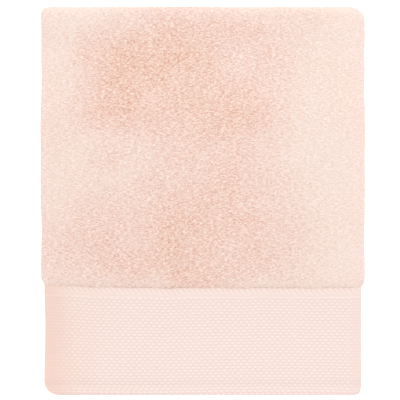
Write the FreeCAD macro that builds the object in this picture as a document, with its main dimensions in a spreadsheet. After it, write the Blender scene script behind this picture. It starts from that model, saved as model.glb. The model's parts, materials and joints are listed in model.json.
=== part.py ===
"""A thick bath towel, folded in half lengthwise and in three crosswise, lying flat.

Frame: millimetres, +Z up. The origin is in the middle of the pack, on the surface it lies on. +Y runs from
the hemmed end that shows on top to the back fold, and +X runs from the free long edges to the long fold.

Three leaves lie on each other, each of two plies. From the top: the top leaf ends at the front in the woven
border and its hem, turns down round the back fold into the middle leaf, and that turns down round the front
fold into the bottom leaf, which ends under the back fold in the towel's other border and hem.
"""

import FreeCAD, Part
import math
import os

import Sketcher
from FreeCAD import Vector

DIMENSIONS = {
    "folded_width": 380.0,  # top leaf, over the pile
    "folded_depth": 457.0,  # hem to back fold
    "terry_ply": 5.4,  # one ply of terry with the pile of both faces
    "border_ply": 2.0,  # one ply of the flat woven border
    "band_ply": 2.6,  # one ply of the corded band
    "hem_ply": 3.0,  # one ply of the end hem, three layers of flat cloth
    "seam_ply": 2.4,  # one ply along the end hem's stitching
    "ply_gap": 0.4,  # between the two plies of a leaf
    "leaf_gap": 0.4,  # between two leaves
    "lower_inset": 2.5,  # how far the lower leaves lie inside the top one, on each side
    "border_inset": 4.0,  # how far the border lies inside the terry, on each side
    "border_depth": 125.0,  # corded band, border and hem together
    "band_depth": 10.0,
    "hem_depth": 10.2,
    "seam_width": 0.8,  # a row of stitches
    "front_setback": 4.0,  # how far the front fold lies behind the outer hem
    "back_setback": 2.5,  # how far the inner hem lies in front of the back fold
    "leaf_start": 5.0,  # from a fold's axis to where the flat of its leaf begins
    "fold_clearance": 0.4,  # between a fold and the leaf that swings round it
    "fold_round": 5.0,  # rounding of a fold's two ends
    "side_hem_width": 10.8,  # with its stitching
    "side_hem_ply": 2.0,
    "side_hem_end": 2.0,  # from the end of a fold's curve to the end of the modelled side hem
}

# Expressions on the cells of the sheet, used by more than one piece.
LEAF = "(2 * dims.terry_ply + dims.ply_gap)"
LEAF_STEP = f"({LEAF} + dims.leaf_gap)"
FOLD_RADIUS = f"({LEAF} + dims.leaf_gap / 2)"
FRONT = "(-dims.folded_depth / 2)"
BACK = "(dims.folded_depth / 2)"
INNER_END = f"({BACK} - dims.back_setback)"
FRONT_AXIS = f"({FRONT} + dims.front_setback + {FOLD_RADIUS})"
BACK_AXIS = f"({BACK} - {FOLD_RADIUS})"
LOWER_WIDTH = "(dims.folded_width - 2 * dims.lower_inset)"
BORDER_WIDTH = "(dims.folded_width - 2 * dims.border_inset)"
FLOORS = {"bottom": "0", "middle": LEAF_STEP, "top": f"(2 * {LEAF_STEP})"}

document = FreeCAD.newDocument("bath_towel")
sheet = document.addObject("Spreadsheet::Sheet", "dims")
sub_parts = []


def fill_sheet():
    for row, (alias, value) in enumerate(DIMENSIONS.items(), start=1):
        sheet.set(f"A{row}", alias)
        sheet.set(f"B{row}", str(value))
        sheet.setAlias(f"B{row}", alias)
    document.recompute()


def new_body(label):
    body = document.addObject("PartDesign::Body", label)
    body.Label = label
    sub_parts.append(body)
    return body


def sketch_on(body, role, name):
    plane = next(p for p in body.Origin.OriginFeatures if p.Role == role)
    sketch = body.newObject("Sketcher::SketchObject", f"{body.Label}_{name}")
    sketch.AttachmentSupport = [(plane, "")]
    sketch.MapMode = "FlatFace"
    return sketch


def bind(thing, **expressions):
    """Binds properties to expressions; x, y and z stand for the parts of the placement."""
    for name, expression in expressions.items():
        path = f"Placement.Base.{name}" if name in ("x", "y", "z") else name
        thing.setExpression(path, expression)


def constrain(sketch, kind, *where):
    sketch.addConstraint(Sketcher.Constraint(kind, *where))


def constrain_size(sketch, name, kind, *where_and_value, to):
    """Adds a named constraint with a starting value, and binds it to the expression in to."""
    index = sketch.addConstraint(Sketcher.Constraint(kind, *where_and_value))
    sketch.renameConstraint(index, name)
    sketch.setExpression(f"Constraints.{name}", to)


def doubled_section(sketch, ply, width, side_hem):
    """Draws the section across two plies that are one cloth, joined round the right-hand edge.

    The left end is at x = 0 and the underside at y = 0. With side_hem, the facing sides of the plies are
    recessed at the left, where the hems of the free edges lie.
    """
    thick, gap = DIMENSIONS[ply], DIMENSIONS["ply_gap"]
    hem_wide, hem_thick = DIMENSIONS["side_hem_width"], DIMENSIONS["side_hem_ply"]
    total, upper = 2 * thick + gap, thick + gap
    flat = DIMENSIONS["folded_width"] - total / 2
    mouth_above, mouth_below = [(0, upper)], [(0, thick)]
    if side_hem:
        mouth_above = [(0, upper + hem_thick), (hem_wide, upper + hem_thick), (hem_wide, upper)]
        mouth_below = [(hem_wide, thick), (hem_wide, thick - hem_thick), (0, thick - hem_thick)]

    above = add_chain(sketch, [(flat, total), (0, total)] + mouth_above + [(flat, upper)])
    below = add_chain(sketch, [(flat, thick)] + mouth_below + [(0, 0), (flat, 0)])
    outer, inner = (add_half_round(sketch, flat, total / 2, radius) for radius in (total / 2, gap / 2))
    constrain(sketch, "Coincident", outer, 3, inner, 3)
    constrain(sketch, "Tangent", below[-1], 2, outer, 1)
    constrain(sketch, "Tangent", outer, 2, above[0], 1)
    constrain(sketch, "Tangent", above[-1], 2, inner, 2)
    constrain(sketch, "Tangent", inner, 1, below[0], 1)
    constrain(sketch, "Coincident", below[-1], 1, -1, 1)
    constrain(sketch, "PointOnObject", above[0], 2, -2)

    constrain_size(sketch, "half_gap", "Radius", inner, gap / 2, to="dims.ply_gap / 2")
    constrain_size(sketch, "bend", "Radius", outer, total / 2, to=f"dims.{ply} + dims.ply_gap / 2")
    constrain_size(
        sketch, "flat", "DistanceX", outer, 3, flat, to=f"{width} - dims.{ply} - dims.ply_gap / 2"
    )
    if side_hem:
        for side, line in (("above", above[3]), ("below", below[1])):
            constrain_size(
                sketch, f"hem_width_{side}", "DistanceX", line, 1, hem_wide, to="dims.side_hem_width"
            )
            constrain_size(
                sketch, f"hem_depth_{side}", "DistanceY", line, 2, line, 1, hem_thick, to="dims.side_hem_ply"
            )


def add_half_round(sketch, x, y, radius):
    circle = Part.Circle(Vector(x, y), Vector(0, 0, 1), radius)
    return sketch.addGeometry(Part.ArcOfCircle(circle, -math.pi / 2, math.pi / 2))


def add_chain(sketch, corners):
    """Adds lines through the corners, each horizontal or vertical, and returns their numbers."""
    lines = []
    for start, end in zip(corners, corners[1:]):
        line = sketch.addGeometry(Part.LineSegment(Vector(*start), Vector(*end)))
        constrain(sketch, "Horizontal" if start[1] == end[1] else "Vertical", line)
        if lines:
            constrain(sketch, "Coincident", lines[-1], 2, line, 1)
        lines.append(line)
    return lines


def doubled_cloth(label, leaf, ply, width, start, length, side_hem=False):
    """A stretch of the doubled cloth lying on its leaf's floor, from start for a length along +Y."""
    body = new_body(label)
    section = sketch_on(body, "XZ_Plane", "section")
    doubled_section(section, ply, width, side_hem)
    document.recompute()
    pad = body.newObject("PartDesign::Pad", f"{label}_cloth")
    pad.Profile = section
    pad.Reversed = True
    bind(pad, Length=length)
    bind(body, x=f"-{width} / 2", y=start, z=FLOORS[leaf])
    document.recompute()
    return body


def cut_for_fold(body, name, along, up, radius):
    """Cuts a leaf's end back to a fold's round, about an axis along X at (along, up) in the body's frame."""
    before = body.Shape.Volume
    section = sketch_on(body, "YZ_Plane", name)
    circle = section.addGeometry(Part.Circle(Vector(1, 1), Vector(0, 0, 1), 10))
    constrain_size(section, "radius", "Radius", circle, 10, to=radius)
    constrain_size(section, "along", "DistanceX", circle, 3, 1, to=along)
    constrain_size(section, "up", "DistanceY", circle, 3, 1, to=up)
    document.recompute()
    pocket = body.newObject("PartDesign::Pocket", f"{body.Label}_{name}_cut")
    pocket.Profile = section
    pocket.Type = "ThroughAll"
    pocket.Midplane = True
    document.recompute()
    if not body.Shape.Volume < before:
        raise RuntimeError(f"{body.Label}: the cut for its {name} removed nothing")


def fold_roll(label, along, up):
    """The round edge where two leaves meet: a bar along X on the fold's axis, with rounded ends."""
    body = new_body(label)
    section = sketch_on(body, "YZ_Plane", "section")
    circle = section.addGeometry(Part.Circle(Vector(0, 0), Vector(0, 0, 1), 10))
    constrain(section, "Coincident", circle, 3, -1, 1)
    constrain_size(section, "radius", "Radius", circle, 10, to=FOLD_RADIUS)
    document.recompute()
    pad = body.newObject("PartDesign::Pad", f"{label}_roll")
    pad.Profile = section
    pad.Midplane = True
    bind(pad, Length=LOWER_WIDTH)
    document.recompute()
    numbered = enumerate(pad.Shape.Edges, start=1)
    rims = [f"Edge{number}" for number, edge in numbered if isinstance(edge.Curve, Part.Circle)]
    rounding = body.newObject("PartDesign::Fillet", f"{label}_rounding")
    rounding.Base = (pad, rims)
    bind(rounding, Radius="dims.fold_round")
    bind(body, y=along, z=up)
    document.recompute()
    return body


def pair_of_strips(label, leaf, width, start, end, offset, strip_width):
    """Two strips along the free edges of a leaf's plies, in the recess on their facing sides."""
    strips = []
    levels = {"lower": "dims.terry_ply - dims.side_hem_ply", "upper": "dims.terry_ply + dims.ply_gap"}
    for level, height in levels.items():
        strip = document.addObject("Part::Box", f"{label}_{level}")
        bind(strip, Length=strip_width, Width=f"{end} - {start}", Height="dims.side_hem_ply")
        bind(strip, x=f"-{width} / 2 + {offset}", y=start, z=height)
        strips.append(strip)
    pair = document.addObject("Part::Compound", label)
    pair.Label = label
    pair.Links = strips
    bind(pair, z=FLOORS[leaf])
    sub_parts.append(pair)


def side_hems(leaf, width, start, end):
    """The hems turned in along a leaf's free edges, and the stitching along them."""
    hem = "(dims.side_hem_width - dims.seam_width)"
    pair_of_strips(f"{leaf}_leaf_side_hems", leaf, width, start, end, "0", hem)
    pair_of_strips(f"{leaf}_leaf_side_stitching", leaf, width, start, end, hem, "dims.seam_width")


def towel_end(prefix, leaf, start, direction):
    """Hem, stitching, border and corded band of one end, from its edge at start towards the terry."""
    border = "(dims.border_depth - dims.hem_depth - dims.seam_width - dims.band_depth)"
    zones = [
        ("hem", "hem_ply", "dims.hem_depth"),
        ("hem_stitching", "seam_ply", "dims.seam_width"),
        ("border", "border_ply", border),
        ("corded_band", "band_ply", "dims.band_depth"),
    ]
    edge = start
    for zone, ply, length in zones:
        far = f"({edge} {direction} {length})"
        low = edge if direction == "+" else far
        doubled_cloth(f"{prefix}_end_{zone}", leaf, ply, BORDER_WIDTH, low, length)
        edge = far


def bottom_leaf():
    start = f"({FRONT_AXIS} + dims.leaf_start)"
    end = f"({INNER_END} - dims.border_depth)"
    length = f"{end} - {start}"
    terry = doubled_cloth("bottom_leaf_terry", "bottom", "terry_ply", LOWER_WIDTH, start, length, True)
    cut_for_fold(terry, "front_fold", "-dims.leaf_start", FOLD_RADIUS, FOLD_RADIUS)
    side_hems("bottom", LOWER_WIDTH, f"({FRONT_AXIS} + {FOLD_RADIUS} + dims.side_hem_end)", end)
    towel_end("inner", "bottom", INNER_END, "-")
    fold_roll("front_fold", FRONT_AXIS, FOLD_RADIUS)


def middle_leaf():
    start = f"({FRONT_AXIS} + dims.leaf_start)"
    end = f"({BACK_AXIS} - dims.leaf_start)"
    length = f"{end} - {start}"
    terry = doubled_cloth("middle_leaf_terry", "middle", "terry_ply", LOWER_WIDTH, start, length, True)
    clear = f"{FOLD_RADIUS} + dims.fold_clearance"
    cut_for_fold(terry, "front_fold", "-dims.leaf_start", "-dims.leaf_gap / 2", clear)
    cut_for_fold(terry, "back_fold", f"{length} + dims.leaf_start", FOLD_RADIUS, FOLD_RADIUS)
    hem_start = f"({FRONT_AXIS} + {FOLD_RADIUS} + dims.side_hem_end)"
    hem_end = f"({BACK_AXIS} - {FOLD_RADIUS} - dims.side_hem_end)"
    side_hems("middle", LOWER_WIDTH, hem_start, hem_end)
    fold_roll("back_fold", BACK_AXIS, f"{LEAF_STEP} + {FOLD_RADIUS}")


def top_leaf():
    start = f"({FRONT} + dims.border_depth)"
    end = f"({BACK_AXIS} - dims.leaf_start)"
    width = "dims.folded_width"
    terry = doubled_cloth("top_leaf_terry", "top", "terry_ply", width, start, f"{end} - {start}", True)
    clear = f"{FOLD_RADIUS} + dims.fold_clearance"
    cut_for_fold(terry, "back_fold", f"{end} - {start} + dims.leaf_start", "-dims.leaf_gap / 2", clear)
    side_hems("top", width, start, f"({BACK_AXIS} - {FOLD_RADIUS} - dims.side_hem_end)")
    towel_end("outer", "top", FRONT, "+")


def check_document():
    for thing in document.Objects:
        if {"Invalid", "Error"} & set(thing.State):
            raise RuntimeError(f"{thing.Label} failed: {thing.State}")
    for part in sub_parts:
        if part.Shape.isNull() or not part.Shape.isValid():
            raise RuntimeError(f"{part.Label} has no valid shape")


def write_parts():
    os.makedirs("parts", exist_ok=True)
    for part in sub_parts:
        part.Shape.exportStep(os.path.join("parts", f"{part.Label}.step"))
        box = part.Shape.BoundBox
        low, high = (box.XMin, box.YMin, box.ZMin), (box.XMax, box.YMax, box.ZMax)
        print(f"{part.Label:28}", [round(v, 2) for v in low], [round(v, 2) for v in high])


fill_sheet()
bottom_leaf()
middle_leaf()
top_leaf()
document.recompute()
check_document()
write_parts()
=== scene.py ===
"""A thick bath towel, folded in half lengthwise and in three crosswise, seen from straight above.

The towel is one doubled cloth that runs in a Z through three leaves and two round folds. Each piece here is
a stretch of that Z: an outline across the two plies, swept along a path of stations, with the pile, the dots,
the cords and the hems as real relief on it.
"""

import json
import math
from collections import namedtuple

import bpy
import numpy as np
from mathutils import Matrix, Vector


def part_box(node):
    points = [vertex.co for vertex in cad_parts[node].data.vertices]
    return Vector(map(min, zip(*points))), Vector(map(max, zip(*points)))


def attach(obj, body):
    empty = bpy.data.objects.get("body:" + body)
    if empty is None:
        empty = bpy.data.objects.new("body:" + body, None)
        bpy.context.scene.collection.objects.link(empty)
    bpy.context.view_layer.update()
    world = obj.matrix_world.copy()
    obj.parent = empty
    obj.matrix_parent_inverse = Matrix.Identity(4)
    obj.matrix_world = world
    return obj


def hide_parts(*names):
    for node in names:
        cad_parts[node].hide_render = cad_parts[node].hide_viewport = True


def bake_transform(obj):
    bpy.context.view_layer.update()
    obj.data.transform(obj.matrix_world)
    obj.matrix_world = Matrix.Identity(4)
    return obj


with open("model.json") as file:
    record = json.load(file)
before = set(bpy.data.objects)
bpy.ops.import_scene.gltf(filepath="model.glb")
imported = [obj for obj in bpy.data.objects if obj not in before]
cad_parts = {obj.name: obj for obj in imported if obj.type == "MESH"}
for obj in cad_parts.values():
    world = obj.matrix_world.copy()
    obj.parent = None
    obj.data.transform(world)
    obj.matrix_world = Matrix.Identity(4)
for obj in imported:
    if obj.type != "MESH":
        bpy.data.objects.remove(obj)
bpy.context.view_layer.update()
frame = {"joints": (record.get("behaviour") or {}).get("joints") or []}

# ---------------------------------------------------------------- sizes, in metres, read from the frame

MM = 0.001
HINGES = {joint["name"]: joint["pos_m"] for joint in frame["joints"]}
FRONT_Y, FRONT_Z = HINGES["front_fold_hinge"][1:]
BACK_Y, BACK_Z = HINGES["back_fold_hinge"][1:]
TOP_LOW, TOP_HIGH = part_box("top_leaf_terry")
MIDDLE_LOW, MIDDLE_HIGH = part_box("middle_leaf_terry")
LEAF = TOP_HIGH.z - TOP_LOW.z  # thickness of a leaf of terry, two plies
FOLD_MIDDLE = BACK_Z - MIDDLE_LOW.z - LEAF / 2  # radius of a fold, halfway through the doubled cloth
FOLD_OUTSIDE = FOLD_MIDDLE + LEAF / 2
HALF_TOP, HALF_LOWER = TOP_HIGH.x, MIDDLE_HIGH.x
BACK_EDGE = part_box("back_fold")[1].y
FRONT_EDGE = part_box("front_fold")[0].y

BORDER_LOW, BORDER_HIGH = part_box("outer_end_border")
BORDER = BORDER_HIGH.z - BORDER_LOW.z  # thickness of the doubled border
HALF_BORDER = BORDER_HIGH.x
BAND_LOW, BAND_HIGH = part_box("outer_end_corded_band")
HEM_LOW, HEM_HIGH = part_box("outer_end_hem")
BAND, HEM = BAND_HIGH.z - BAND_LOW.z, HEM_HIGH.z - HEM_LOW.z
BAND_END = BAND_HIGH.y - BAND_LOW.y  # distances from the terry, towards the end of the towel
BORDER_END = BAND_HIGH.y - BORDER_LOW.y
HEM_START = BAND_HIGH.y - HEM_HIGH.y
HEM_END = BAND_HIGH.y - HEM_LOW.y

PLY_GAP = 0.4 * MM
SEAM_LIFT = 3.3 * MM  # how far the thick terry holds the corded band off what lies below
SIDE_HEM_WIDTH, SIDE_HEM_PLY = 10.8 * MM, 2.0 * MM

# The pile: loops of yarn that lie in all directions.
LOOP_PITCH = 2.3 * MM
LOOP_LENGTH, LOOP_WIDTH = 3.8 * MM, 2.0 * MM
PILE_DEPTH = 0.75 * MM

# The woven border and the corded band.
DOT_PITCH, ROW_PITCH = 6.6 * MM, 3.5 * MM
DOT_LENGTH, DOT_WIDTH, DOT_HEIGHT = 4.3 * MM, 2.5 * MM, 0.4 * MM
CORD_PITCH, CORD_LEAN, CORD_DEPTH = 6.5 * MM, 0.85, 0.8 * MM

STITCH_PITCH, STITCH_LENGTH, THREAD = 3.4 * MM, 2.8 * MM, 0.3 * MM

# ---------------------------------------------------------------- noise


def chance(i, j, k):
    """A number from 0 to 1 for each pair of whole numbers, the same in every run."""
    value = np.sin(i * 127.1 + j * 311.7 + k * 74.7) * 43758.5453
    return value - np.floor(value)


def smooth(t):
    t = np.clip(t, 0, 1)
    return t * t * (3 - 2 * t)


def ramp(value, start, end):
    """0 at start and before, 1 at end and after, smooth between. start may be the larger."""
    return smooth((value - start) / (end - start))


def billow(u, v, cell, seed):
    """Smooth noise from -1 to 1, with features about as large as a cell."""
    i, j = np.floor(u / cell), np.floor(v / cell)
    a, b = smooth(u / cell - i), smooth(v / cell - j)
    low = chance(i, j, seed) * (1 - a) + chance(i + 1, j, seed) * a
    high = chance(i, j + 1, seed) * (1 - a) + chance(i + 1, j + 1, seed) * a
    return 2 * (low * (1 - b) + high * b) - 1


def loops(u, v):
    """Height, from 0 to 1, of a bed of loops: each an oval lump at a chance place and angle."""
    height = np.zeros(np.broadcast(u, v).shape)
    column, row = np.floor(u / LOOP_PITCH), np.floor(v / LOOP_PITCH)
    for across in (-1, 0, 1):
        for along in (-1, 0, 1):
            i, j = column + across, row + along
            du = u - (i + chance(i, j, 1)) * LOOP_PITCH
            dv = v - (j + chance(i, j, 2)) * LOOP_PITCH
            angle = 1.4 * (chance(i, j, 3) + chance(i, j, 5) - 1)
            length = du * np.cos(angle) + dv * np.sin(angle)
            width = dv * np.cos(angle) - du * np.sin(angle)
            lump = 1 - (2 * length / LOOP_LENGTH) ** 2 - (2 * width / LOOP_WIDTH) ** 2
            height = np.maximum(height, lump * (0.55 + 0.45 * chance(i, j, 4)))
    return np.sqrt(height)


# ---------------------------------------------------------------- outlines and paths

Outline = namedtuple("Outline", "x up nx nup u outside caps total ply")
Path = namedtuple("Path", "y z ny nz v")


def spread(start, end, step):
    return np.linspace(start, end, max(2, int(round(abs(end - start) / step)) + 1))


def arc(cx, cy, radius, start, end, count, facing=1):
    """Points inside an arc, without its ends, and the way they face."""
    angle = np.linspace(math.radians(start), math.radians(end), count + 2)[1:-1]
    c, s = np.cos(angle), np.sin(angle)
    return cx + radius * c, cy + radius * s, facing * c, facing * s


def flat_run(x, up, facing):
    return x, up + 0 * x, 0 * x, facing + 0 * x


def doubled_outline(half, total, above, below, side_hem=0.0):
    """The outline of two plies joined round the +X edge, with free edges at -X.

    half is half the folded width, total the thickness of both plies, and above and below the spacing of the
    points on the upper and the under side. It runs along the underside, round the fold, back along the upper
    side, and returns between the plies, where each ply gives way to a side hem.
    """
    ply, bend = (total - PLY_GAP) / 2, total / 2
    edge = (ply - side_hem) / 2
    left, right = -half + edge, half - bend
    hem = -half + SIDE_HEM_WIDTH
    inside = np.concatenate([[left, hem - 0.3 * MM], spread(hem, right, 9 * MM)])
    face = np.where(inside < hem, ply - side_hem, ply)
    parts = [
        flat_run(spread(left, right, below), 0.0, -1.0),
        arc(right, bend, bend, -90, 90, max(8, int(math.pi * bend / above))),
        flat_run(spread(right, left, above), total, 1.0),
        arc(left, total - edge, edge, 90, 270, 5),
        flat_run(inside, total - face, -1.0),
        arc(right, bend, PLY_GAP / 2, 90, -90, 2, facing=-1),
        flat_run(inside[::-1], face[::-1], 1.0),
        arc(left, edge, edge, 90, 270, 5),
    ]
    x, up, nx, nup = (np.concatenate([part[k] for part in parts]) for k in range(4))
    starts = np.concatenate([[0], np.cumsum([len(part[0]) for part in parts])])
    outside = np.ones(len(x))
    outside[starts[4]:starts[7]] = 0.0
    u = np.concatenate([[0], np.cumsum(np.hypot(np.diff(x), np.diff(up)))])
    return Outline(x, up, nx, nup, u, outside, end_faces(x, up, starts), total, ply)


def end_faces(x, up, starts):
    """Faces that close an end of the sweep: between the outer and the inner chain, and at the free edges."""
    outer = list(range(starts[0], starts[3]))
    inner = list(range(starts[4], starts[7]))[::-1]
    nearest = np.hypot(x[inner][:, None] - x[outer], up[inner][:, None] - up[outer]).argmin(axis=1)
    at = [0, *np.maximum.accumulate(nearest)[1:-1], len(outer) - 1]
    faces = [outer[at[k]:at[k + 1] + 1] + [inner[k + 1], inner[k]] for k in range(len(inner) - 1)]
    faces.append([outer[-1]] + list(range(starts[3], starts[4])) + [inner[-1]])
    faces.append([inner[0]] + list(range(starts[7], starts[8])) + [outer[0]])
    return faces


def strip_outline(left, right, low, high, total):
    """The outline of a flat strip with round sides."""
    radius = (high - low) / 2
    middle = low + radius
    run = spread(left + radius, right - radius, 1.6 * MM)
    parts = [
        flat_run(run, low, -1.0),
        arc(right - radius, middle, radius, -90, 90, 4),
        flat_run(run[::-1], high, 1.0),
        arc(left + radius, middle, radius, 90, 270, 4),
    ]
    x, up, nx, nup = (np.concatenate([part[k] for part in parts]) for k in range(4))
    u = np.concatenate([[0], np.cumsum(np.hypot(np.diff(x), np.diff(up)))])
    return Outline(x, up, nx, nup, u, np.ones(len(x)), [list(range(len(x)))], total, high - low)


def level_path(start, end, step, middle, up=1, v=0.0):
    """Stations along Y at one height. up is -1 where the outline's upper side faces down."""
    y = spread(start, end, step)
    return Path(y, middle + 0 * y, 0 * y, up + 0 * y, v + np.abs(y - start))


def fold_path(axis_y, axis_z, start, end, step, upper_side, v):
    """Stations round a fold, from one angle to another in degrees. upper_side is 1 where it's outside."""
    angle = np.radians(spread(start, end, math.degrees(step / FOLD_OUTSIDE)))
    c, s = np.cos(angle), np.sin(angle)
    along = v + np.abs(angle - angle[0]) * FOLD_OUTSIDE
    y, z = axis_y + FOLD_MIDDLE * c, axis_z + FOLD_MIDDLE * s
    return Path(y, z, upper_side * c, upper_side * s, along)


# ---------------------------------------------------------------- the towel's shape


def corner(distance, radius):
    """How far a rounded corner lies inside a square one, at a distance from the corner's far side."""
    inside = np.clip(radius - distance, 0, radius)
    return radius - np.sqrt(np.maximum(radius**2 - inside**2, 0))


def seam_line(x):
    """How far the seam between terry and border leaves its place in the CAD, across the towel."""
    t = x / HALF_TOP
    bow = 0.9 * MM + 3.0 * MM * ramp(t, -0.3, -1.05) + 1.6 * MM * ramp(t, 0.84, 1.0)
    return bow + 0.5 * MM * np.sin(x / (9 * MM)) * np.sin(x / (31 * MM))


def pull_seam(x, y):
    """Points moved along Y with the seam: all the way at the seam, and not at the hem or far up the terry."""
    over_border = ramp(y, HEM_HIGH.y, TOP_LOW.y)
    over_terry = ramp(y, TOP_LOW.y + 80 * MM, TOP_LOW.y)
    share = np.where(y < TOP_LOW.y, over_border, over_terry)
    at_seam = np.exp(-(((y - TOP_LOW.y) / (2.2 * MM)) ** 2))
    puckers = 0.4 * MM * np.sin(2 * math.pi * x / CORD_PITCH) * at_seam
    return y + seam_line(x) * share + puckers


def settle(x, y, z):
    """The stack is pressed flatter towards its side edges, and sags over the thin end of the towel inside it.

    None of it reaches the folds, so that the leaves still meet when they are opened.
    """
    left = 0.13 * ramp(x, -HALF_TOP + 42 * MM, -HALF_TOP)
    right = 0.05 * ramp(x, HALF_TOP - 22 * MM, HALF_TOP)
    uneven = 0.014 * (billow(x, y, 90 * MM, 21) - 1) + 0.008 * billow(x, y, 37 * MM, 22)
    from_folds = ramp(BACK_Y - y, 0, 45 * MM) * ramp(y - FRONT_Y, 0, 35 * MM)
    sag = 2 * MM * from_folds * ramp(y, 98 * MM, 140 * MM) * ramp(z, LEAF, MIDDLE_LOW.z)
    return z * (1 + from_folds * (uneven - left - right)) - sag


def shift_sides(x, left, right, half):
    """Moves points outward by a share of what the side edges move."""
    t = np.clip(x / half, -1, 1)
    return x + t * np.where(t > 0, right, left)


def top_plan(x, y, z, level):
    """The top leaf: corners rounded in plan, and the sides drawn in where the border begins."""
    to_back, to_seam = BACK_EDGE - y, y - TOP_LOW.y
    wave = 0.5 * MM * np.sin(y / (37 * MM)) + 0.3 * MM * np.sin(y / (13 * MM) + 1)
    wider = HALF_TOP - HALF_LOWER + 0.6 * MM
    right = wider + 0.5 * wave - corner(to_back, 19 * MM)
    right = right - 1.4 * MM * ramp(to_seam, 9 * MM, 2 * MM) - 2.4 * MM * ramp(to_seam, 3.5 * MM, 0)
    left = wider + wave - corner(to_back, 9 * MM) - 3.8 * MM * ramp(to_seam, 10 * MM, 0)
    left = left - 0.9 * MM * ramp(level, 0.6, 0.4)
    moved = shift_sides(x, left, right, HALF_LOWER)
    return moved, pull_seam(moved, y), settle(moved, y, z)


def lower_plan(seed):
    """The plan of a lower leaf."""

    def plan(x, y, z, level):
        wave = 0.8 * MM * np.sin(y / (29 * MM) + seed) + 0.4 * MM * np.sin(y / (11 * MM) + 2 * seed)
        ends = corner(BACK_EDGE - y, 9 * MM) + corner(y - FRONT_EDGE, 9 * MM)
        ends = ends + 4.5 * MM * ramp(y, TOP_LOW.y + 10 * MM, TOP_LOW.y - 15 * MM)
        left = wave - ends - 0.8 * MM * ramp(level, 0.4, 0.6)
        moved = shift_sides(x, left, 0.5 * wave - ends, HALF_LOWER)
        return moved, y, settle(moved, y, z)

    return plan


def turning_plan(first, second, axis_y, axis_z, facing):
    """The plan of a fold, from that of the leaf before it to that of the leaf after it, by the angle."""

    def plan(x, y, z, level):
        share = ramp(np.arctan2(z - axis_z, facing * (y - axis_y)), -math.pi / 2, math.pi / 2)
        before, after = first(x, y, z, level), second(x, y, z, level)
        return tuple(a * (1 - share) + b * share for a, b in zip(before, after))

    return plan


def outer_border_plan(x, y, z, level):
    """The border on top: its free corners don't quite meet at the left, and it's drawn in at the right."""
    to_end = y - HEM_LOW.y
    lower = ramp(level, 0.6, 0.4)
    left = 0.4 * MM * np.sin(y / (19 * MM)) + 0.3 * MM
    left = left - 1.15 * corner(to_end, 15.5 * MM) * (1 - 0.12 * lower) - 1.3 * MM * lower
    right = 0.5 * MM - 0.35 * corner(to_end, 13 * MM) - corner(to_end, 3 * MM)
    moved = shift_sides(x, left, right, HALF_BORDER)
    droop = 2.6 * MM * ramp(to_end, 22 * MM, 0)
    return moved, pull_seam(moved, y), settle(moved, y, z) - droop


def inner_border_plan(x, y, z, level):
    """The border underneath, against the back fold."""
    to_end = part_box("inner_end_hem")[1].y - y
    left = 0.8 * MM * np.sin(y / (23 * MM)) - corner(to_end, 8 * MM) - 1.2 * MM * ramp(level, 0.4, 0.6)
    moved = shift_sides(x, left, -corner(to_end, 4 * MM), HALF_BORDER)
    loft = 4.2 * MM + 0.4 * MM * np.sin(moved / (41 * MM))
    loft = loft * ramp(y, bottom_seam + 10 * MM, bottom_seam + 60 * MM)
    return moved, y, settle(moved, y, z) + loft * (0.3 + 0.7 * ramp(level, 0, 1))


def plain_thickness(x, y, up):
    return up


def seam_thickness(seam_y, away, step):
    """The terry rounds down to the band, and up from what lies below. away is the band's way along Y."""

    def thickness(x, y, up):
        t = 0.78 * np.clip(1 + away * (y - seam_y) / (11 * MM), 0, 1.2)
        fall = (1 - np.sqrt(1 - t**2)) / (1 - math.sqrt(1 - 0.78**2))
        return up * (1 - (1 - step) * fall) + SEAM_LIFT * fall

    return thickness


def woven_thickness(seam_y):
    """The band and the hem are thicker than the border between them, and the terry holds the band up."""

    def thickness(x, y, up):
        d = np.abs(y - seam_y)
        band = (BAND - BORDER) * ramp(d, BAND_END + 12 * MM, 0)
        hem = (HEM - BORDER) * ramp(d, BORDER_END - 2 * MM, HEM_END - 2 * MM)
        groove = 0.06 * MM * (1 - ramp(np.abs(d - (BORDER_END + HEM_START) / 2), 0.2 * MM, 1.4 * MM))
        return up * (1 + (band + hem - groove) / BORDER) + SEAM_LIFT * ramp(d, 60 * MM, 0)

    return thickness


# ---------------------------------------------------------------- relief and tone


def terry_relief(u, v, x, y):
    height = loops(u, v)
    clump = billow(u, v, 8 * MM, 11) + 0.8 * billow(u, v, 21 * MM, 12)
    calm = 0.36 + 0.64 * ramp(np.abs(x), HALF_TOP - 8 * MM, HALF_TOP - 70 * MM)
    calm = calm * (0.45 + 0.55 * ramp(y, TOP_LOW.y + 2 * MM, TOP_LOW.y + 9 * MM))
    out = -PILE_DEPTH * calm * (1 - height) - 0.2 * MM * (1.8 + clump)
    # The share goes to the colour: lower between the loops is painted in shade.
    return out, 0.5 + (height - 0.6) * calm


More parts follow.
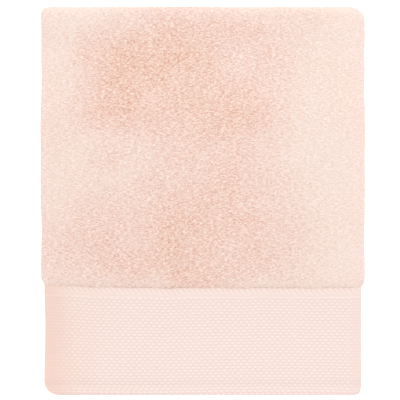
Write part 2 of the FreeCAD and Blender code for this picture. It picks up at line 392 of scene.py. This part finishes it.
def dots(u, v, x, d):
    """Staggered oval dots, fading towards the side edges. d is the distance from the terry."""
    v = v + 0.8 * MM * np.sin(x / (52 * MM))
    row = np.floor(v / ROW_PITCH)
    column = u / DOT_PITCH + 0.5 * (row % 2) + 0.06 * billow(u, v, 14 * MM, 31)
    du = (column - np.floor(column) - 0.5) * DOT_PITCH
    dv = (v / ROW_PITCH - row - 0.5) * ROW_PITCH
    lump = np.maximum(1 - (2 * du / DOT_LENGTH) ** 2 - (2 * dv / DOT_WIDTH) ** 2, 0)
    left = ramp(x, -HALF_BORDER + 9 * MM, -HALF_BORDER + 36 * MM)
    right = ramp(x, HALF_BORDER - 8 * MM, HALF_BORDER - 17 * MM)
    start = ramp(d, BAND_END + 1.2 * MM, BAND_END + 2.5 * MM)
    ribs = 0.22 * (0.5 + 0.5 * np.cos(2 * math.pi * (v / ROW_PITCH - 0.5)))
    field = 0.12 + 0.88 * left * (0.15 + 0.85 * right)
    return 0.55 * (1 - start) + start * (ribs + (1 - ribs) * np.sqrt(lump) * field)


def cords(u, v, x, d):
    """Slanting cords, side by side, dying away towards the side edges."""
    lean = u - CORD_LEAN * d + 0.5 * MM * billow(u, v, 11 * MM, 41)
    ridge = np.abs(np.sin(math.pi * lean / CORD_PITCH)) ** 0.7
    sides = ramp(x, -HALF_BORDER + 8 * MM, -HALF_BORDER + 24 * MM)
    sides = sides * ramp(x, HALF_BORDER - 4 * MM, HALF_BORDER - 13 * MM)
    deepest = 1 - 0.85 * ramp(d, 0.5 * MM, BAND_END)
    # start sinks the band where it meets the terry; through the relief share this is also painted darker, as
    # shade under the terry's edge.
    start = 0.45 + 0.55 * ramp(d, 0, 1.8 * MM)
    return start * (0.6 + 0.15 * sides - 0.75 * sides * deepest * (1 - ridge))


def woven_relief(seam_y, facing):
    """The relief of band, border and hem, by the distance from the terry. facing turns the cords over."""

    def relief(u, v, x, y):
        d = np.abs(y - seam_y)
        cord, dot = cords(facing * u, v, x, d), dots(u, v, x, d)
        band = ramp(d, BAND_END, BAND_END - 3 * MM)
        out = -band * CORD_DEPTH * (1 - cord) - (1 - band) * DOT_HEIGHT * (1 - dot)
        # The share sets the colour: sunk cords and the ground between the dots get painted shade.
        return out, np.where(d < BAND_END, 0.5 + band * (cord - 0.5), dot)

    return relief


def no_relief(u, v, x, y):
    return 0 * u, 0.5 + 0.5 * billow(u, v, 3 * MM, 51)


def patch(x, y, cx, cy, wide, long):
    """1 in the middle of a soft oval patch, and 0 far from it. All in millimetres but x and y."""
    return np.exp(-(((x / MM - cx) / wide) ** 2) - ((y / MM - cy) / long) ** 2)


def terry_tone_and_painted_light(x, y, v):
    """How deep the colour looks: the pile lies one way in the middle and another at the edges, and the
    lighter edges and back end also carry painted sheen. Next to the seam the middle is painted light, to lift
    the shade where the terry rolls down to the band, and the sides a little deeper.

    It goes by the distance along the cloth, so that it runs on round the folds from leaf to leaf.
    """
    y = TOP_LOW.y + top_path.v[-1] - v
    # middle is where the pile lies deep; the side edges and the back end are lighter, partly the pile's lie
    # and partly painted sheen.
    from_back = ramp(y, BACK_EDGE - 4 * MM, BACK_EDGE - 34 * MM)
    middle = ramp(x, -HALF_TOP + (54 - 40 * from_back) * MM, -HALF_TOP + (115 - 30 * from_back) * MM)
    middle = middle * ramp(x, (60 + 75 * from_back) * MM, (-10 + 45 * from_back) * MM)
    middle = middle * (0.55 + 0.45 * from_back)
    hand = 0.13 * patch(x, y, -170, 70, 35, 150) + 0.3 * patch(x, y, -160, -55, 60, 45)
    hand = hand + 0.16 * patch(x, y, -86, 136, 45, 45) - 0.3 * patch(x, y, -109, 50, 42, 50)
    hand = hand - 0.2 * patch(x, y, -95, 203, 35, 28) + 0.2 * patch(x, y, 100, 214, 60, 20)
    hand = hand + 0.22 * patch(x, y, -28, 98, 40, 25) + 0.22 * patch(x, y, 100, -62, 40, 45)
    # Painted light: next to the seam the middle is made lighter, against the shade of the roll down to the
    # band, and the sides a little deeper.
    at_seam = ramp(y, TOP_LOW.y + 26 * MM, TOP_LOW.y + 4 * MM)
    hand = hand - at_seam * (0.3 * middle - 0.06)
    stroke = billow(x + 0.4 * y, y, 55 * MM, 61) + 0.7 * billow(x - 0.3 * y, y, 24 * MM, 62)
    stroke = stroke + 0.28 * billow(x, y, 11 * MM, 63) + 0.12 * billow(x, y, 5 * MM, 65)
    return np.clip(0.12 + 0.56 * middle + hand + 0.22 * stroke * (0.25 + 0.75 * middle), 0, 1)


def border_painted_shade_and_tone(x, y, v):
    """Painted shade towards the border's left side, where it turns down away from the lamp, with a little
    random tone all over.
    """
    # side: painted shade, deepest near the left edge.
    side = 0.45 * ramp(x, -HALF_BORDER + 38 * MM, -HALF_BORDER + 2 * MM)
    side = side + 0.42 * ramp(x, -HALF_BORDER + 95 * MM, -HALF_BORDER + 10 * MM)
    return np.clip(side + 0.08 * billow(x, y, 40 * MM, 64) + 0.06 * billow(x, y, 14 * MM, 66), 0, 1)


# ---------------------------------------------------------------- meshes


def beyond(values):
    """Values with one more at each end, in line with the last two."""
    return np.concatenate([[2 * values[0] - values[1]], values, [2 * values[-1] - values[-2]]])


def sweep(outline, path, plan, relief, tone, thickness=plain_thickness, round_end=0.0):
    """Sweeps an outline along a path, and returns its points, normals, quads, end faces and material values.

    thickness(x, y, up) gives the height in the outline, plan(x, y, z, level) the place in the frame, and
    relief(u, v, x, y) how far the outside stands out, and its share from 0 to 1. Where round_end isn't 0,
    each ply narrows to a round edge over that length at the path's end. The surface is worked out for one
    station beyond each end, so that the shading carries on from one piece to the next.
    """
    end_y = path.y[-1]
    path = Path(*(beyond(values) for values in path))
    x, level = outline.x + 0 * path.y[:, None], outline.up + 0 * path.y[:, None]
    u, v = outline.u + 0 * path.y[:, None], path.v[:, None] + 0 * x
    if round_end:
        t = np.clip(1 - np.abs(path.y - end_y) / round_end, 0, 1)
        inward = (1 - np.sqrt(1 - (0.96 * t) ** 2))[:, None] * outline.ply / 2
        x, level = x - inward * outline.nx, level - inward * outline.nup
    off = thickness(x, path.y[:, None] + 0 * x, level) - outline.total / 2
    y = path.y[:, None] + off * path.ny[:, None]
    z = path.z[:, None] + off * path.nz[:, None]
    out, share = relief(u, v, x, y)
    out = out * outline.outside
    px, py, pz = plan(x, y, z, level / outline.total)
    px = px + out * outline.nx
    py = py + out * outline.nup * path.ny[:, None]
    pz = pz + out * outline.nup * path.nz[:, None]
    points = np.stack([px, py, pz], axis=-1)
    across = np.roll(points, -1, axis=1) - np.roll(points, 1, axis=1)
    normals = np.cross(across[1:-1], points[2:] - points[:-2])
    px, py, u, v, share, points = (values[1:-1] for values in (px, py, u, v, share, points))
    rows, around = u.shape
    row, column = np.meshgrid(np.arange(rows - 1) * around, np.arange(around), indexing="ij")
    following = (column + 1) % around
    here, beside = row + column, row + following
    quads = np.stack([here, beside, around + beside, around + here], axis=-1)
    last = (rows - 1) * around
    ends = [face[::-1] for face in outline.caps] + [[last + k for k in face] for face in outline.caps]
    reads = {"cloth": np.stack([u, v, 0 * u], axis=-1).reshape(-1, 3)}
    # relief darkens sunk parts as painted shade in the materials; tone holds the cloth's own tone together
    # with painted sheen, light and shade.
    reads["relief"] = (share * outline.outside).reshape(-1)
    reads["tone"] = tone(px, py, v).reshape(-1)
    return points.reshape(-1, 3), normals.reshape(-1, 3), quads.reshape(-1, 4), ends, reads


def joined(parts):
    """Several sweeps as one."""
    offsets = np.cumsum([0] + [len(part[0]) for part in parts])
    points = np.concatenate([part[0] for part in parts])
    normals = np.concatenate([part[1] for part in parts])
    quads = np.concatenate([part[2] + offset for part, offset in zip(parts, offsets)])
    ends = [[k + offset for k in face] for part, offset in zip(parts, offsets) for face in part[3]]
    reads = {name: np.concatenate([part[4][name] for part in parts]) for name in parts[0][4]}
    return points, normals, quads, ends, reads


def mesh_object(name, points, normals, quads, ends, reads, material):
    """A mesh of smooth quads and flat end faces, turned so that its faces look outward."""
    a, b, c, d = (points[quads[:, k]] for k in range(4))
    if (np.cross(b, c) * a).sum() + (np.cross(c, d) * a).sum() < 0:
        quads = quads[:, ::-1]
        ends = [face[::-1] for face in ends]
        normals = -normals
    corners = np.concatenate([quads.reshape(-1)] + [np.array(face) for face in ends]).astype(np.int32)
    sizes = np.concatenate([np.full(len(quads), 4), [len(face) for face in ends]]).astype(np.int32)
    starts = np.concatenate([[0], np.cumsum(sizes)[:-1]]).astype(np.int32)
    mesh = bpy.data.meshes.new(name)
    mesh.vertices.add(len(points))
    mesh.vertices.foreach_set("co", points.astype(np.float32).reshape(-1))
    mesh.loops.add(len(corners))
    mesh.loops.foreach_set("vertex_index", corners)
    mesh.polygons.add(len(starts))
    mesh.polygons.foreach_set("loop_start", starts)
    mesh.polygons.foreach_set("use_smooth", np.arange(len(starts)) < len(quads))
    mesh.update(calc_edges=True)
    if normals.any():
        lengths = np.linalg.norm(normals, axis=1, keepdims=True)
        mesh.normals_split_custom_set_from_vertices((normals / np.maximum(lengths, 1e-15)).tolist())
    for key, values in reads.items():
        kind, field = ("FLOAT_VECTOR", "vector") if values.ndim == 2 else ("FLOAT", "value")
        attribute = mesh.attributes.new(key, kind, "POINT")
        attribute.data.foreach_set(field, values.astype(np.float32).reshape(-1))
    mesh.materials.append(material)
    obj = bpy.data.objects.new(name, mesh)
    bpy.context.scene.collection.objects.link(obj)
    return obj


def thread_rows(rows):
    """Stitches: short bent capsules of thread, from pairs of end points and the way the cloth faces."""
    sides = 7
    along_and_size = [(-1.0, 0.25), (-0.82, 0.85), (-0.4, 1.0), (0.4, 1.0), (0.82, 0.85), (1.0, 0.25)]
    rings = np.array(along_and_size)
    angle = np.arange(sides) * 2 * math.pi / sides
    points, quads, ends = [], [], []
    for start, end, facing in rows:
        along = (end - start) / 2
        middle = (start + end) / 2
        side = np.cross(along, facing)
        side = side / np.linalg.norm(side)
        base = len(points) * sides * len(rings)
        ring_points = []
        for t, size in rings:
            sunk = middle + along * t - facing * THREAD * 1.5 * t**4
            circle = np.outer(np.cos(angle), side) + np.outer(np.sin(angle), facing)
            ring_points.append(sunk + THREAD * size * circle)
        points.append(np.concatenate(ring_points))
        for k in range(len(rings) - 1):
            for m in range(sides):
                here, beside = base + k * sides + m, base + k * sides + (m + 1) % sides
                quads.append([here, beside, beside + sides, here + sides])
        ends.append([base + m for m in range(sides)][::-1])
        ends.append([base + (len(rings) - 1) * sides + m for m in range(sides)])
    points = np.concatenate(points)
    along_thread = np.tile(np.repeat(rings[:, 0], sides), len(points) // (sides * len(rings)))
    cloth = np.stack([along_thread * STITCH_LENGTH / 2, 0 * along_thread, 0 * along_thread], axis=-1)
    reads = {"cloth": cloth, "relief": 0.7 + 0 * along_thread, "tone": 0.5 + 0 * along_thread}
    return points, 0 * points, np.array(quads), ends, reads


# ---------------------------------------------------------------- materials


def node(tree, kind, inputs=(), **settings):
    """A shader node. Inputs that are sockets are linked, and others are set."""
    made = tree.nodes.new(kind)
    for key, value in settings.items():
        setattr(made, key, value)
    for key, value in dict(inputs).items():
        if isinstance(value, bpy.types.NodeSocket):
            tree.links.new(value, made.inputs[key])
        else:
            made.inputs[key].default_value = value
    return made


def calculate(tree, operation, first, second):
    return node(tree, "ShaderNodeMath", {0: first, 1: second}, operation=operation).outputs[0]


def mixed(tree, share, first, second):
    made = node(tree, "ShaderNodeMix", data_type="RGBA")
    for socket, value in zip((made.inputs[0], made.inputs[6], made.inputs[7]), (share, first, second)):
        if isinstance(value, bpy.types.NodeSocket):
            tree.links.new(value, socket)
        else:
            socket.default_value = value if isinstance(value, float) else (*value, 1)
    return made.outputs[2]


def noise(tree, vector, wide, high, seed, detail=2.0, distortion=0.0):
    """Noise over the cloth, with features of a width and height in metres."""
    stretch = {0: vector, 1: (1 / wide, 1 / high, 1)}
    scaled = node(tree, "ShaderNodeVectorMath", stretch, operation="MULTIPLY").outputs[0]
    shift = {0: scaled, 1: (seed, 0.7 * seed, 0)}
    moved = node(tree, "ShaderNodeVectorMath", shift, operation="ADD").outputs[0]
    inputs = {"Vector": moved, "Scale": 1.0, "Detail": detail, "Distortion": distortion}
    return node(tree, "ShaderNodeTexNoise", inputs, noise_dimensions="2D").outputs["Fac"]


def stretched(tree, value, low, high):
    """A value taken from the range low to high into 0 to 1, smoothly."""
    inputs = {"Value": value, "From Min": low, "From Max": high}
    return node(tree, "ShaderNodeMapRange", inputs, interpolation_type="SMOOTHSTEP").outputs["Result"]


def woven_height(tree, cloth, pitch):
    """Yarns that pass over and under each other."""
    across = node(tree, "ShaderNodeSeparateXYZ", {0: cloth})
    turns = 2 * math.pi / pitch
    waves = []
    for axis in (0, 1):
        angle = calculate(tree, "MULTIPLY", across.outputs[axis], turns)
        waves.append(calculate(tree, "SINE", angle, 0.0))
    return calculate(tree, "MULTIPLY", waves[0], waves[1])


def finish_cloth(material, colour, height, depth, strength, sheen):
    tree = material.node_tree
    bump = {"Height": height, "Strength": strength, "Distance": depth}
    normal = node(tree, "ShaderNodeBump", bump).outputs["Normal"]
    inputs = {"Base Color": colour, "Normal": normal, "Roughness": 0.95, "Specular IOR Level": 0.15}
    inputs.update({"Sheen Weight": sheen, "Sheen Roughness": 0.5})
    shader = node(tree, "ShaderNodeBsdfPrincipled", inputs)
    node(tree, "ShaderNodeOutputMaterial", {"Surface": shader.outputs["BSDF"]})
    return material


def start_cloth(name):
    """An empty material, and what every cloth reads: its own coordinates, its relief and its tone."""
    material = bpy.data.materials.new(name)
    material.use_nodes = True
    tree = material.node_tree
    tree.nodes.clear()
    cloth = node(tree, "ShaderNodeAttribute", attribute_name="cloth").outputs["Vector"]
    relief = node(tree, "ShaderNodeAttribute", attribute_name="relief").outputs["Fac"]
    tone = node(tree, "ShaderNodeAttribute", attribute_name="tone").outputs["Fac"]
    return material, tree, cloth, relief, tone


def terry_material():
    """Loops of yarn: light tips, and small curled pits in painted shade, darker where the pile stands open.
    """
    material, tree, cloth, relief, tone = start_cloth("terry")
    grain = noise(tree, cloth, 4.2 * MM, 0.82 * MM, 3.0, detail=1.0, distortion=0.4)
    grain = stretched(tree, grain, 0.36, 0.64)
    curls = noise(tree, cloth, 2.5 * MM, 1.0 * MM, 17.0, detail=1.0, distortion=1.2)
    tufts = noise(tree, cloth, 5.5 * MM, 4 * MM, 29.0)
    open_pile = calculate(tree, "MULTIPLY", stretched(tree, tufts, 0.05, 0.8), tone)
    pits = calculate(tree, "SUBTRACT", 1.0, stretched(tree, curls, 0.32, 0.52))
    share = calculate(tree, "ADD", calculate(tree, "MULTIPLY", open_pile, 1.05), 0.14)
    pits = calculate(tree, "MULTIPLY", pits, share)
    of_loops, of_grain = calculate(tree, "MULTIPLY", relief, 0.4), calculate(tree, "MULTIPLY", grain, 0.6)
    varied = calculate(tree, "ADD", of_loops, of_grain)
    # light is the colour at the lighter edges, partly painted sheen, and deep that of the middle; in each,
    # the lower pile gets the darker colour as painted shade.
    light = mixed(tree, varied, (0.825, 0.655, 0.59), (0.905, 0.80, 0.75))
    deep = mixed(tree, varied, (0.73, 0.42, 0.325), (0.965, 0.83, 0.745))
    colour = mixed(tree, tone, light, deep)
    # Painted shade in the pits between the loops.
    colour = mixed(tree, pits, colour, (0.66, 0.31, 0.20))
    height = calculate(tree, "SUBTRACT", grain, calculate(tree, "MULTIPLY", pits, 0.8))
    return finish_cloth(material, colour, height, 0.9 * MM, 0.3, 0.1)


def woven_material(name, sunk, raised, deep_sunk, deep_raised, yarn):
    """Woven cloth, with painted shade where it's sunk and lighter where it stands out, of yarns with a given
    pitch.
    """
    material, tree, cloth, relief, tone = start_cloth(name)
    slubs = noise(tree, cloth, 6 * MM, 0.8 * MM, 7.0)
    fibres = noise(tree, cloth, 0.5 * MM, 0.35 * MM, 11.0)
    weave = woven_height(tree, cloth, yarn)
    of_slubs, of_fibres = calculate(tree, "MULTIPLY", slubs, 0.35), calculate(tree, "MULTIPLY", fibres, 0.2)
    uneven = calculate(tree, "SUBTRACT", calculate(tree, "ADD", of_slubs, of_fibres), 0.275)
    varied = calculate(tree, "ADD", relief, uneven)
    varied = calculate(tree, "ADD", varied, calculate(tree, "MULTIPLY", weave, 0.08))
    # Lower relief takes the sunk colour as painted shade; the deep pair is used where the tone is deep.
    light, deep = mixed(tree, varied, sunk, raised), mixed(tree, varied, deep_sunk, deep_raised)
    colour = mixed(tree, tone, light, deep)
    height = calculate(tree, "ADD", weave, fibres)
    return finish_cloth(material, colour, height, 0.25 * MM, 0.3, 0.06)


# Sunk and raised yarn, the sunk one darker as painted shade, and the same two where the tone is deep, as in
# the painted shade at the border's left side.
WOVEN = (0.845, 0.67, 0.62), (0.925, 0.81, 0.765), (0.84, 0.61, 0.53), (0.90, 0.70, 0.62)
CORDED = (0.79, 0.57, 0.50), (0.91, 0.795, 0.75), (0.79, 0.55, 0.46), (0.88, 0.67, 0.585)
SEWN = (0.84, 0.65, 0.59), (0.92, 0.78, 0.72), (0.84, 0.65, 0.59), (0.92, 0.78, 0.72)

terry_cloth = terry_material()
border_cloth = woven_material("woven_border", *WOVEN, yarn=0.9 * MM)
band_cloth = woven_material("corded_band", *CORDED, yarn=1.1 * MM)
hem_cloth = woven_material("hem", *WOVEN, yarn=0.9 * MM)
thread_cloth = woven_material("thread", *SEWN, yarn=0.5 * MM)

# ---------------------------------------------------------------- build


def piece(name, made, material, slot, replaced=None, body=None, bend=None):
    """A piece of the towel, attached to its body, or left where it is built when it has none."""
    obj = mesh_object(name, *made, material)
    if body:
        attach(obj, body)
    else:
        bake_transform(obj)
    if replaced:
        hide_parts(replaced)
    return obj


STEP, COARSE, HIDDEN = 1.15 * MM, 1.8 * MM, 2.2 * MM  # mesh spacing, by how well a face can be seen
bottom_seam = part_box("bottom_leaf_terry")[1].y
step_down = 0.93 * BAND / LEAF  # a leaf's thickness at the seam, as a share of its own

bottom_path = level_path(bottom_seam, FRONT_Y, COARSE, LEAF / 2)
front_path = fold_path(FRONT_Y, FRONT_Z, 270, 90, STEP, -1, bottom_path.v[-1])
middle_path = level_path(FRONT_Y, BACK_Y, COARSE, MIDDLE_LOW.z + LEAF / 2, -1, front_path.v[-1])
back_path = fold_path(BACK_Y, BACK_Z, -90, 90, STEP, 1, middle_path.v[-1])
top_path = level_path(BACK_Y, TOP_LOW.y, STEP, TOP_LOW.z + LEAF / 2, 1, back_path.v[-1])

bottom_plan, middle_plan = lower_plan(1.0), lower_plan(4.0)
front_plan = turning_plan(bottom_plan, middle_plan, FRONT_Y, FRONT_Z, -1)
back_plan = turning_plan(middle_plan, top_plan, BACK_Y, BACK_Z, 1)


def terry_piece(name, path, plan, replaced, above, below, thickness=plain_thickness, **rides):
    outline = doubled_outline(HALF_LOWER, LEAF, above, below, SIDE_HEM_PLY)
    made = sweep(outline, path, plan, terry_relief, terry_tone_and_painted_light, thickness)
    return piece(name, made, terry_cloth, "terry_pile", replaced, **rides)


def side_hem_piece(name, path, plan, replaced, thickness=plain_thickness, **rides):
    """The two strips turned in along the free edges of a stretch of terry."""
    ply = (LEAF - PLY_GAP) / 2
    strips = []
    for low in (ply - SIDE_HEM_PLY, ply + PLY_GAP):
        left, right = -HALF_LOWER + 0.2 * MM, -HALF_LOWER + SIDE_HEM_WIDTH
        outline = strip_outline(left, right, low, low + SIDE_HEM_PLY, LEAF)
        strips.append(sweep(outline, path, plan, no_relief, terry_tone_and_painted_light, thickness))
    return piece(name, joined(strips), hem_cloth, "hem_cloth", replaced, **rides)


def placed(plan, x, y, z, level):
    """One point, taken to its place by a plan."""
    return np.array([float(value) for value in plan(x, y, z, level)])


def side_stitches(name, path, plan, thickness, replaced, body):
    """The rows of stitches that hold the side hems."""
    ply = (LEAF - PLY_GAP) / 2
    x = -HALF_LOWER + SIDE_HEM_WIDTH - 1.6 * MM
    count = int((path.v[-1] - path.v[0]) / STITCH_PITCH)
    rows = []
    for up, facing in ((ply, 1), (ply + PLY_GAP, -1)):
        for k in range(count):
            y0 = path.y[0] + (path.y[-1] - path.y[0]) * (k + 0.1) / count
            y1 = path.y[0] + (path.y[-1] - path.y[0]) * (k + 0.9) / count
            ends = []
            for y in (y0, y1):
                z = path.z[0] + (thickness(x, y, up) - LEAF / 2) * path.nz[0]
                ends.append(placed(plan, x, y, z, up / LEAF))
            rows.append((ends[0], ends[1], np.array([0, 0, facing * path.nz[0]])))
    return piece(name, thread_rows(rows), thread_cloth, "sewing_thread", replaced, body=body)


front_bend = ("bottom_leaf", "middle_leaf", FRONT_Y, FRONT_Z - FOLD_OUTSIDE, FRONT_Z + FOLD_OUTSIDE)
back_bend = ("middle_leaf", "top_leaf", BACK_Y, BACK_Z - FOLD_OUTSIDE, BACK_Z + FOLD_OUTSIDE)
down_bottom = seam_thickness(bottom_seam, 1, step_down)
down_top = seam_thickness(TOP_LOW.y, -1, step_down)

bottom = terry_piece(
    "bottom_leaf_pile", bottom_path, bottom_plan, "bottom_leaf_terry", COARSE, 2.3 * MM, down_bottom,
    body="bottom_leaf",
)
front = terry_piece(
    "front_fold_pile", front_path, front_plan, "front_fold", HIDDEN, 1.3 * MM, bend=front_bend
)
middle = terry_piece(
    "middle_leaf_pile", middle_path, middle_plan, "middle_leaf_terry", COARSE, COARSE, body="middle_leaf"
)
back = terry_piece("back_fold_pile", back_path, back_plan, "back_fold", STEP, HIDDEN, bend=back_bend)
top = terry_piece(
    "top_leaf_pile", top_path, top_plan, "top_leaf_terry", STEP, HIDDEN, down_top, body="top_leaf"
)

bottom_hems = side_hem_piece(
    "bottom_leaf_hems", bottom_path, bottom_plan, "bottom_leaf_side_hems", down_bottom, body="bottom_leaf"
)
front_hems = side_hem_piece("front_fold_hems", front_path, front_plan, None, bend=front_bend)
middle_hems = side_hem_piece(
    "middle_leaf_hems", middle_path, middle_plan, "middle_leaf_side_hems", body="middle_leaf"
)
back_hems = side_hem_piece("back_fold_hems", back_path, back_plan, None, bend=back_bend)
top_hems = side_hem_piece(
    "top_leaf_hems", top_path, top_plan, "top_leaf_side_hems", down_top, body="top_leaf"
)
terry_pieces = (bottom, front, middle, back, top)
hem_pieces = {
    obj: [hems]
    for obj, hems in zip(terry_pieces, (bottom_hems, front_hems, middle_hems, back_hems, top_hems))
}
for leaf, path, plan, thickness, obj in (
    ("bottom_leaf", bottom_path, bottom_plan, down_bottom, bottom),
    ("middle_leaf", middle_path, middle_plan, plain_thickness, middle),
    ("top_leaf", top_path, top_plan, down_top, top),
):
    stitches = side_stitches(leaf + "_hem_stitches", path, plan, thickness, leaf + "_side_stitching", leaf)
    hem_pieces[obj].append(stitches)


def towel_end(end, seam_y, away, floor, plan, body, fine, step):
    """The corded band, border, hem and stitches at one end of the towel. away is the way it runs along Y."""
    outline = doubled_outline(HALF_BORDER, BORDER, fine, 1.7 * MM)
    thickness, relief = woven_thickness(seam_y), woven_relief(seam_y, away)
    stretches = (
        ("corded_band", 0, BAND_END, 0.8 * MM, band_cloth, 0.0),
        ("border", BAND_END, BORDER_END, step, border_cloth, 0.0),
        ("hem", BORDER_END, HEM_END, 0.7 * MM, hem_cloth, 1.6 * MM),
    )
    slots = {"corded_band": "corded_band", "border": "woven_border", "hem": "hem_cloth"}
    made = {}
    for part, near, far, spacing, material, round_end in stretches:
        path = level_path(seam_y + away * near, seam_y + away * far, spacing, floor + BORDER / 2, 1, near)
        shape = sweep(outline, path, plan, relief, border_painted_shade_and_tone, thickness, round_end)
        node_name = f"{end}_{part}"
        made[part] = piece(node_name + "_cloth", shape, material, slots[part], node_name, body=body)
    y = seam_y + away * (BORDER_END + HEM_START) / 2
    rows = []
    reach = HALF_BORDER - 4 * MM
    count = int(2 * reach / STITCH_PITCH)
    for level, facing in ((1.0, 1), (0.0, -1)):
        for k in range(count):
            ends = []
            start = -reach + (k + 0.1) * STITCH_PITCH
            for x in (start, start + STITCH_LENGTH):
                up = float(thickness(x, y, level * BORDER)) - facing * 0.4 * MM
                ends.append(placed(plan, x, y, floor + up, level))
            rows.append((ends[0], ends[1], np.array([0, 0, facing])))
    name, replaced = f"{end}_hem_stitches", f"{end}_hem_stitching"
    stitches = piece(name, thread_rows(rows), thread_cloth, "sewing_thread", replaced, body=body)
    return made["border"], [made["corded_band"], made["hem"], stitches]


outer = towel_end(
    "outer_end", TOP_LOW.y, -1, TOP_LOW.z, outer_border_plan, "top_leaf", fine=0.9 * MM, step=0.75 * MM
)
inner = towel_end(
    "inner_end", bottom_seam, 1, 0.0, inner_border_plan, "bottom_leaf", fine=1.3 * MM, step=1.1 * MM
)

# ---------------------------------------------------------------- floor, light and camera



def white_floor():
    """A floor that glows a little, so that it is plain white with only a trace of shadow."""
    material = bpy.data.materials.new("white_floor")
    material.use_nodes = True
    shader = material.node_tree.nodes["Principled BSDF"]
    shader.inputs["Base Color"].default_value = (0.6, 0.6, 0.6, 1)
    shader.inputs["Roughness"].default_value = 0.9
    shader.inputs["Emission Color"].default_value = (1, 1, 1, 1)
    shader.inputs["Emission Strength"].default_value = 0.75
    mesh = bpy.data.meshes.new("floor")
    mesh.from_pydata([(-4, -4, 0), (4, -4, 0), (4, 4, 0), (-4, 4, 0)], [], [(0, 1, 2, 3)])
    mesh.materials.append(material)
    floor = bpy.data.objects.new("floor", mesh)
    bpy.context.scene.collection.objects.link(floor)


def soft_light():
    """Even white light from all round, and a wide lamp above and behind."""
    world = bpy.data.worlds.new("studio")
    bpy.context.scene.world = world
    world.use_nodes = True
    background = world.node_tree.nodes["Background"]
    background.inputs["Color"].default_value = (1, 1, 1, 1)
    background.inputs["Strength"].default_value = 0.88

    lamp = bpy.data.lights.new("key", "AREA")
    lamp.shape = "DISK"
    lamp.size = 1.3
    lamp.energy = 21.5
    key = bpy.data.objects.new("key", lamp)
    key.location = (0.35, 1.25, 2.2)
    key.rotation_euler = (Vector((0, 0, 0)) - key.location).to_track_quat("-Z", "Y").to_euler()
    bpy.context.scene.collection.objects.link(key)


def camera_above():
    """A camera that looks straight down from two metres above the towel."""
    camera_data = bpy.data.cameras.new("camera")
    camera_data.sensor_width = 36
    camera_data.lens = 153.9
    camera = bpy.data.objects.new("camera", camera_data)
    camera.location = (-0.0035, 0.00065, TOP_HIGH.z + 2.0)
    bpy.context.scene.collection.objects.link(camera)
    bpy.context.scene.camera = camera
    bpy.context.scene.view_settings.view_transform = "Standard"


white_floor()
soft_light()
camera_above()
